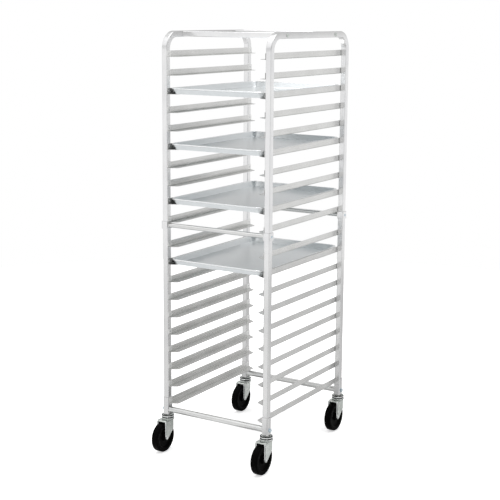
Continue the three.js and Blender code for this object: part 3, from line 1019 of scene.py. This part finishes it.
def mounting_disc(corner):
    top = SLEEVE_BOTTOM - DISC_DROP
    bm = bmesh.new()
    disc = [(0, top), (DISC_RADIUS, top), (DISC_RADIUS, top - DISC_THICK)]
    stem = [(STEM_RADIUS, top - DISC_THICK), (STEM_RADIUS, FORK_TOP - 0.0033)]
    stem += arc(STEM_RADIUS * 1.2, FORK_TOP - 0.0057, STEM_END, 80, -60, 4)
    stem += [(0, FORK_TOP - 0.0088)]
    turned(bm, disc + stem, stem_place(corner), UP, 36)
    return finish(bm, f"{corner}_stem", "rack_frame", [ZINC])


for corner in CORNERS:
    caster_foot(corner)
    mounting_disc(corner)
    shadow_ring(f"{corner}_upper_shadow_ring", corner, "rack_frame", *UPPER_SHADOW_RING)
print("feet, stems and upper shadow rings", 3 * len(CORNERS))

# %% [markdown]
# The race is where the balls run: a bright rolled ring over a pressed cup on the crown, so that it
# stands out between the two dark rings of painted shadow. A torus would be round all over. The outline
# is flat where the ring meets the shadow rings and an arc only where it bulges, and the cup under it
# has a rolled edge.

# %% Race and lower painted shadow ring
RACE_INNER = 0.0232
RACE_LOW = FORK_TOP + 0.0069
RACE_HIGH = FORK_TOP + 0.0120
LIP_RADIUS = 0.0025
LIP_CENTRE = (0.0249, FORK_TOP + 0.0094)
CUP_INNER = 0.0065
CUP_OUTER = 0.0262
CUP_LOW = FORK_TOP - 0.0002
CUP_HIGH = FORK_TOP + 0.0025
CUP_EDGE_RADIUS = 0.0013
CUP_EDGE_CENTRE = (0.0258, FORK_TOP + 0.0012)
RACE_STEPS = 40


def race(corner):
    place = stem_place(corner)
    bm = bmesh.new()
    lip = [(RACE_INNER, RACE_LOW), (0.0255, RACE_LOW)]
    lip += arc(*LIP_CENTRE, LIP_RADIUS, -80, 80, 8)
    lip += [(RACE_INNER, RACE_HIGH), (RACE_INNER, RACE_LOW)]
    turned(bm, lip, place, UP, RACE_STEPS)
    cup = [(CUP_INNER, CUP_LOW), (CUP_OUTER, CUP_LOW)]
    cup += arc(*CUP_EDGE_CENTRE, CUP_EDGE_RADIUS, -60, 80, 6)
    cup += [(CUP_INNER, CUP_HIGH), (CUP_INNER, CUP_LOW)]
    turned(bm, cup, place, UP, RACE_STEPS)
    return finish(bm, f"{corner}_race", f"{corner}_fork", [AXLE_STEEL_AND_PAINTED_HIGHLIGHT])


for corner in CORNERS:
    race(corner)
    shadow_ring(f"{corner}_lower_shadow_ring", corner, f"{corner}_fork", *LOWER_SHADOW_RING)
print("races and lower shadow rings", 2 * len(CORNERS))

# %% [markdown]
# The crown is pressed from plate: a round shoulder under the race that runs out into a nose over
# the wheel, with its edge folded down. It could be subdivided from a cage, but the press's own way
# is shorter: the flat outline is rounded and pushed up, its upper edge is eased, and a turned
# shoulder sits on top.

# %% Crown
NOSE_REACH = 0.050
CROWN_BACK = 0.0235
LEG_OUT = 0.024
CROWN_CORNER = 0.011
CROWN_EASE = 0.0028
CROWN_LOW = FORK_TOP - 0.0062
CROWN_DEEP = 0.0046


def crown(corner):
    place = stem_place(corner)
    bm = bmesh.new()
    plate = rounded_face(bm, 2 * LEG_OUT, NOSE_REACH + CROWN_BACK, CROWN_CORNER, 6)
    middle = Vector((place.x, place.y + (CROWN_BACK - NOSE_REACH) / 2, CROWN_LOW))
    bmesh.ops.translate(bm, verts=list(plate.verts), vec=middle)
    top = push(bm, plate, (0, 0, CROWN_DEEP))
    ease_edges(bm, list(top.edges), CROWN_EASE, 4)
    shoulder = [
        (0, FORK_TOP - 0.0022),
        (0.0262, FORK_TOP - 0.0030),
        (0.0252, FORK_TOP - 0.0010),
        (0.0235, FORK_TOP + 0.0002),
        (0, FORK_TOP + 0.0004),
    ]
    turned(bm, shoulder, place, UP, RACE_STEPS)
    return finish(bm, f"{corner}_crown", f"{corner}_fork", [ZINC])


for corner in CORNERS:
    crown(corner)
print("crowns", len(CORNERS))

# %% [markdown]
# A fork leg is pressed sheet: its front edge is rolled in towards the wheel, and behind it the leg
# tapers to the axle. As with the runners, it is cut before it has a thickness, which keeps every
# cut edge clean. The section is a short line with one rounded corner, seen from above. It is
# extruded downwards and trimmed behind by a plane that just touches the round boss.

# %% Leg sheet
LEG_FRONT = -0.0405
LEG_BACK = 0.008
LEG_ROLL = 0.0062
LEG_TOP = FORK_TOP - 0.0035
BOSS_RADIUS = 0.0095
KNEE_Z = 0.095


def leg_sheet(bm, side, place, axle):
    """The leg's outside as a bent sheet from the crown down to the boss."""
    bottom = axle.z - BOSS_RADIUS * 0.2
    x = place.x + side * LEG_OUT
    front = place.y + LEG_FRONT - LEG_ROLL
    points = [(x, place.y + LEG_BACK, LEG_TOP), (x, front, LEG_TOP)]
    points += [(x - side * LEG_ROLL, front, LEG_TOP)]
    verts, _ = drawn_line(bm, points)
    round_corners(bm, verts[1:2], LEG_ROLL * 0.85, 5)
    line_to_sheet(bm, (0, 0, bottom - LEG_TOP))


def trim_leg(bm, place, axle):
    """Cuts away behind the line from the knee to the boss, where it just touches the boss."""
    knee = Vector((0, place.y + LEG_BACK, KNEE_Z))
    away = Vector((0, axle.y, axle.z)) - knee
    lean = math.asin(BOSS_RADIUS / away.length)
    along = Matrix.Rotation(lean, 3, "X") @ away.normalized()
    behind = Matrix.Rotation(math.pi / 2, 3, "X") @ along
    bmesh.ops.bisect_plane(
        bm, geom=with_borders(bm.faces), plane_co=knee, plane_no=behind, clear_outer=True,
    )


print("leg front at", LEG_FRONT, "knee at", KNEE_Z)

# %% [markdown]
# Two things stiffen the leg: a round boss that carries the axle, and a rib pressed out along the
# front, which stops above the boss. The press would draw the rib from the sheet. As only its
# outside can be seen, it's a slim block with round edges, set into the leg by half its depth.

# %% Rib and boss
RIB_WIDTH = 0.0095
RIB_PROUD = 0.0022
RIB_TOP = FORK_TOP - 0.0075
BOSS_OUT = LEG_OUT + 0.0004
BOSS_DEEP = 0.0034
BOSS_EASE = 0.0008


def leg_rib(bm, side, place, axle):
    bottom = axle.z + BOSS_RADIUS
    rib = bmesh.ops.create_cube(bm, size=1.0)["verts"]
    bmesh.ops.scale(bm, verts=rib, vec=(2 * RIB_PROUD, RIB_WIDTH, RIB_TOP - bottom))
    x = place.x + side * (LEG_OUT - 0.0002)
    y = place.y + LEG_FRONT - LEG_ROLL + RIB_WIDTH / 2 + 0.0006
    bmesh.ops.translate(bm, verts=rib, vec=(x, y, (RIB_TOP + bottom) / 2))
    edges = list(dict.fromkeys(edge for vert in rib for edge in vert.link_edges))
    ease_edges(bm, edges, RIB_PROUD * 0.8, 4)


def leg_boss(bm, side, place, axle):
    outline = [(0, 0), (BOSS_RADIUS - BOSS_EASE, 0), (BOSS_RADIUS, -BOSS_EASE)]
    outline += [(BOSS_RADIUS, -BOSS_DEEP), (0, -BOSS_DEEP)]
    turned(bm, outline, (place.x + side * BOSS_OUT, axle.y, axle.z), (side, 0, 0), 30)


print("rib stands proud by", RIB_PROUD)

# %% [markdown]
# The leg is put together here. The bare sheet may face either way after its cuts, so it is turned
# outwards before it gets its wall, which then grows inwards. The faces that look forwards take the
# brighter finish, a painted highlight on the side of the rolled front edge that faces the light. That
# is chosen before the boss and the rib are added, so both of them keep the zinc.

# %% Fork legs
LEG_STEEL = 0.0024
PAINTED_HIGHLIGHT_FACING = -0.6


def fork_leg(corner, side_name, side):
    place = stem_place(corner)
    axle = axle_place(corner)
    bm = bmesh.new()
    leg_sheet(bm, side, place, axle)
    trim_leg(bm, place, axle)
    merge_doubles(bm)
    bmesh.ops.recalc_face_normals(bm, faces=bm.faces[:])
    flat = max(bm.faces, key=lambda face: face.calc_area())
    if flat.normal.x * side < 0:
        bmesh.ops.reverse_faces(bm, faces=bm.faces[:])
    bmesh.ops.solidify(bm, geom=bm.faces[:], thickness=LEG_STEEL)
    bm.normal_update()
    for face in bm.faces:
        # Painted highlight: faces that look forwards take the brighter finish.
        if face.normal.y < PAINTED_HIGHLIGHT_FACING:
            face.material_index = 1
    leg_boss(bm, side, place, axle)
    leg_rib(bm, side, place, axle)
    name = f"{corner}_fork_leg_{side_name}"
    return finish(bm, name, f"{corner}_fork", [ZINC, AXLE_STEEL_AND_PAINTED_HIGHLIGHT])


for corner in CORNERS:
    for side_name, side in SIDES.items():
        fork_leg(corner, side_name, side)
print("fork legs", 2 * len(CORNERS))

# %% [markdown]
# The axle is a bolt with a domed head at either side and a spacer between the wheel's hub and each
# leg. The domes are the same as on the rack's other bolts, and the rest is turned about the axle's
# line. Threads would be hidden inside, so there are none. The race, crown, legs and axle together
# stand for the CAD fork, and the axle is the one of them that names it.

# %% Axles
AXLE_RADIUS = 0.0048
AXLE_HEAD = (0.0072, 0.0028, 0.0007)
SPACER_INNER = 0.0052
SPACER_OUTER = 0.0085
SPACER_LONG = 0.0034
SPACER_SET_IN = 0.0031


def axle(corner):
    centre = axle_place(corner)
    spacer = [(SPACER_INNER, 0), (SPACER_OUTER, 0), (SPACER_OUTER, -SPACER_LONG)]
    spacer += [(SPACER_INNER, -SPACER_LONG), (SPACER_INNER, 0)]
    bm = bmesh.new()
    for side in SIDES.values():
        axis = Vector((side, 0, 0))
        domed_head(bm, centre + axis * BOSS_OUT, axis, *AXLE_HEAD)
        turned(bm, spacer, centre + axis * (LEG_OUT - SPACER_SET_IN), axis, 24)
    pin = [(0, BOSS_OUT), (AXLE_RADIUS, BOSS_OUT), (AXLE_RADIUS, -BOSS_OUT), (0, -BOSS_OUT)]
    turned(bm, pin, centre, (1, 0, 0), 20)
    nodes = [f"{corner}_caster_fork"]
    return finish(bm, f"{corner}_axle", f"{corner}_fork", [AXLE_STEEL_AND_PAINTED_HIGHLIGHT], nodes)


for corner in CORNERS:
    axle(corner)
print("axles", len(CORNERS))

# %% [markdown]
# A wheel is all turned: a crowned tread, a shoulder, a ring moulded in the side, a dished web and a
# proud hub. Only half of the outline is written down, from the bore out to the tread, because the
# wheel is the same on both sides. Grooves are part of the outline too, since a bump wouldn't show
# at the wheel's silhouette.

# %% Wheels
WHEEL_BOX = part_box("front_left_caster_wheel")
WHEEL_RADIUS = (WHEEL_BOX[1].z - WHEEL_BOX[0].z) / 2
HUB_HALF = (WHEEL_BOX[1].x - WHEEL_BOX[0].x) / 2
BORE_RADIUS = 0.0053
TREAD_EDGE = 0.0052
WHEEL_STEPS = 64


def wheel_half():
    """(radius, distance from the wheel's middle) from the bore out to the tread."""
    hub = [(BORE_RADIUS, HUB_HALF), (0.0150, HUB_HALF), (0.0168, HUB_HALF - 0.0015)]
    web = [(0.0180, 0.0100), (0.0230, 0.0086), (0.0430, 0.0092)]
    ring = [(0.0448, 0.0108), (0.0462, 0.0148), (0.0476, 0.0158)]
    groove = [(0.0520, 0.0160), (0.0527, 0.0151), (0.0534, 0.0160)]
    shoulder = arc(WHEEL_RADIUS - TREAD_EDGE, 0.0108, TREAD_EDGE, 88, 20, 5)
    return hub + web + ring + groove + shoulder + [(WHEEL_RADIUS, 0.0060)]


def wheel(corner):
    half = wheel_half()
    outline = [*half, *[(r, -h) for r, h in reversed(half)], half[0]]
    bm = bmesh.new()
    turned(bm, outline, axle_place(corner), (1, 0, 0), WHEEL_STEPS)
    name = f"{corner}_wheel"
    return finish(bm, name, name, [RUBBER_AND_PAINTED_SHADOW], [f"{corner}_caster_wheel"])


for corner in CORNERS:
    wheel(corner)
print("wheels", len(CORNERS))

# %% [markdown]
# ## Studio
# Bright metal looks like whatever is around it, so the room decides its tones. A few lit panels
# would give hard patches on every flat face. Here the room is one background whose grey follows
# the direction: light below and overhead, darker a little above the horizon, and with one narrow
# dark ring round the side where the camera stands, as if dark cards stood beside it. The camera
# itself sees plain white.

# %% Greys by direction
REAR_LEFT = (-0.527, 0.850, 0.0)


def grey_ramp(nodes, stops):
    ramp = nodes.new("ShaderNodeValToRGB")
    ramp.color_ramp.interpolation = "EASE"
    elements = ramp.color_ramp.elements
    while len(elements) < len(stops):
        elements.new(0.5)
    for element, (position, level) in zip(elements, stops):
        element.position = position
        element.color = (level, level, level, 1)
    return ramp


def level_towards(nodes, links, direction, axis, stops):
    """A grey that follows how far a direction leans along an axis, from against it to along it."""
    facing = nodes.new("ShaderNodeVectorMath")
    facing.operation = "DOT_PRODUCT"
    facing.inputs[1].default_value = axis
    links.new(direction, facing.inputs[0])
    shift = nodes.new("ShaderNodeMapRange")
    shift.inputs["From Min"].default_value = -1
    links.new(facing.outputs["Value"], shift.inputs["Value"])
    ramp = grey_ramp(nodes, stops)
    links.new(shift.outputs["Result"], ramp.inputs["Fac"])
    return ramp.outputs["Color"]


def only_for_camera(nodes, links, others, camera, output):
    """Shows one shader to the camera and the other to every other ray."""
    path = nodes.new("ShaderNodeLightPath")
    choose = nodes.new("ShaderNodeMixShader")
    links.new(path.outputs["Is Camera Ray"], choose.inputs["Fac"])
    links.new(others, choose.inputs[1])
    links.new(camera, choose.inputs[2])
    links.new(choose.outputs["Shader"], output.inputs["Surface"])


print("the camera's side is against", REAR_LEFT)

# %% [markdown]
# The room's grey is the product of two ramps. One follows the direction up and down, and the other
# follows it from the front right, where the camera stands, to the rear left. Each stop of a ramp is
# a place from 0 to 1 along that axis and a grey, so the room can be tuned one side at a time.

# %% Surround
ROOM_STRENGTH = 1.35
UPWARD_LEVELS = [(0.0, 0.76), (0.47, 0.76), (0.54, 0.63), (0.66, 0.56)]
UPWARD_LEVELS += [(0.78, 0.66), (0.92, 0.80), (1.0, 0.8)]
REARWARD_LEVELS = [(0.0, 0.90), (0.02, 0.88), (0.055, 0.50), (0.1, 0.62), (0.2, 1.0)]
REARWARD_LEVELS += [(0.4, 0.9), (0.69, 0.82), (0.76, 0.95), (1.0, 0.80)]


def surround():
    world = bpy.data.worlds.new("studio")
    bpy.context.scene.world = world
    world.use_nodes = True
    nodes, links = world.node_tree.nodes, world.node_tree.links
    seen = nodes["Background"]
    seen.inputs["Color"].default_value = (1, 1, 1, 1)
    room = nodes.new("ShaderNodeBackground")
    room.inputs["Strength"].default_value = ROOM_STRENGTH
    direction = nodes.new("ShaderNodeTexCoord").outputs["Generated"]
    both = nodes.new("ShaderNodeMix")
    both.data_type = "RGBA"
    both.blend_type = "MULTIPLY"
    both.inputs["Factor"].default_value = 1.0
    links.new(level_towards(nodes, links, direction, UP, UPWARD_LEVELS), both.inputs["A"])
    links.new(level_towards(nodes, links, direction, REAR_LEFT, REARWARD_LEVELS), both.inputs["B"])
    links.new(both.outputs["Result"], room.inputs["Color"])
    only_for_camera(
        nodes, links, room.outputs["Background"], seen.outputs["Background"], nodes["World Output"],
    )


surround()
bpy.context.scene.view_settings.view_transform = "Standard"
print("room", len(UPWARD_LEVELS), "by", len(REARWARD_LEVELS), "stops")

# %% [markdown]
# Two soft lights add what an even room can't: light on the faces that look up, and faint shading
# where a pan or a runner shields what is below it. A sun would give edges too sharp for a studio,
# so both are large discs, one nearly overhead and a weaker one high in front on the left.

# %% Lights
MID_RACK = Vector((0, 0, 0.9))


def soft_light(name, place, size, power):
    data = bpy.data.lights.new(name, "AREA")
    data.shape = "DISK"
    data.size = size
    data.energy = power
    light = bpy.data.objects.new(name, data)
    bpy.context.scene.collection.objects.link(light)
    light.location = place
    aim = MID_RACK - Vector(place)
    light.rotation_euler = aim.to_track_quat("-Z", "Y").to_euler()


soft_light("overhead", (-0.3, -0.2, 4.4), size=2.4, power=52)
soft_light("key", (-2.4, -2.6, 4.6), size=4.0, power=10)
print("lights", len(bpy.data.lights))

# %% [markdown]
# The floor has two jobs. The camera should see it as white as the room, with only a soft shadow at
# the wheels, so it glows a little. But the metal mirrors it too, and there it has to carry the same
# dark ring as the room, or every face would be light near the floor. A pattern laid out in metres
# would change tone along a post, so the floor's grey follows the direction from the rack's middle.

# %% Floor finish
FLOOR_WHITE = 0.98
FLOOR_GLOW = 0.5
FLOOR_LEVELS = [(0.0, 0.80), (0.015, 0.75), (0.03, 0.42), (0.052, 0.44), (0.08, 0.92)]
FLOOR_LEVELS += [(0.5, 0.80), (0.66, 0.68), (0.78, 0.68), (1.0, 0.74)]


def floor_finish():
    material, nodes, links, shader = shader_tree("pale_floor")
    shader.inputs["Base Color"].default_value = (FLOOR_WHITE, FLOOR_WHITE, FLOOR_WHITE, 1)
    shader.inputs["Roughness"].default_value = 1.0
    shader.inputs["Specular IOR Level"].default_value = 0.0
    shader.inputs["Emission Color"].default_value = (1, 1, 1, 1)
    shader.inputs["Emission Strength"].default_value = FLOOR_GLOW
    mirrored = nodes.new("ShaderNodeBsdfDiffuse")
    place = nodes.new("ShaderNodeTexCoord")
    outward = nodes.new("ShaderNodeVectorMath")
    outward.operation = "NORMALIZE"
    links.new(place.outputs["Object"], outward.inputs[0])
    level = level_towards(nodes, links, outward.outputs["Vector"], REAR_LEFT, FLOOR_LEVELS)
    links.new(level, mirrored.inputs["Color"])
    only_for_camera(
        nodes, links, mirrored.outputs["BSDF"], shader.outputs["BSDF"], nodes["Material Output"],
    )
    return material


print("floor greys", len(FLOOR_LEVELS))

# %% [markdown]
# The floor itself is a disc just under the wheels. A plane would do, but its corners lie farther
# off than its sides, and the metal would mirror them.

# %% Floor
FLOOR_RADIUS = 4.0
FLOOR_DROP = 0.0002


def floor():
    bm = bmesh.new()
    bmesh.ops.create_circle(bm, cap_ends=True, segments=96, radius=FLOOR_RADIUS)
    bmesh.ops.translate(bm, verts=bm.verts[:], vec=(0, 0, cad_box[0][2] - FLOOR_DROP))
    mesh = bpy.data.meshes.new("floor")
    bm.to_mesh(mesh)
    bm.free()
    mesh.materials.append(floor_finish())
    disc = bpy.data.objects.new("floor", mesh)
    bpy.context.scene.collection.objects.link(disc)


floor()
print("floor at", round(cad_box[0][2] - FLOOR_DROP, 4))
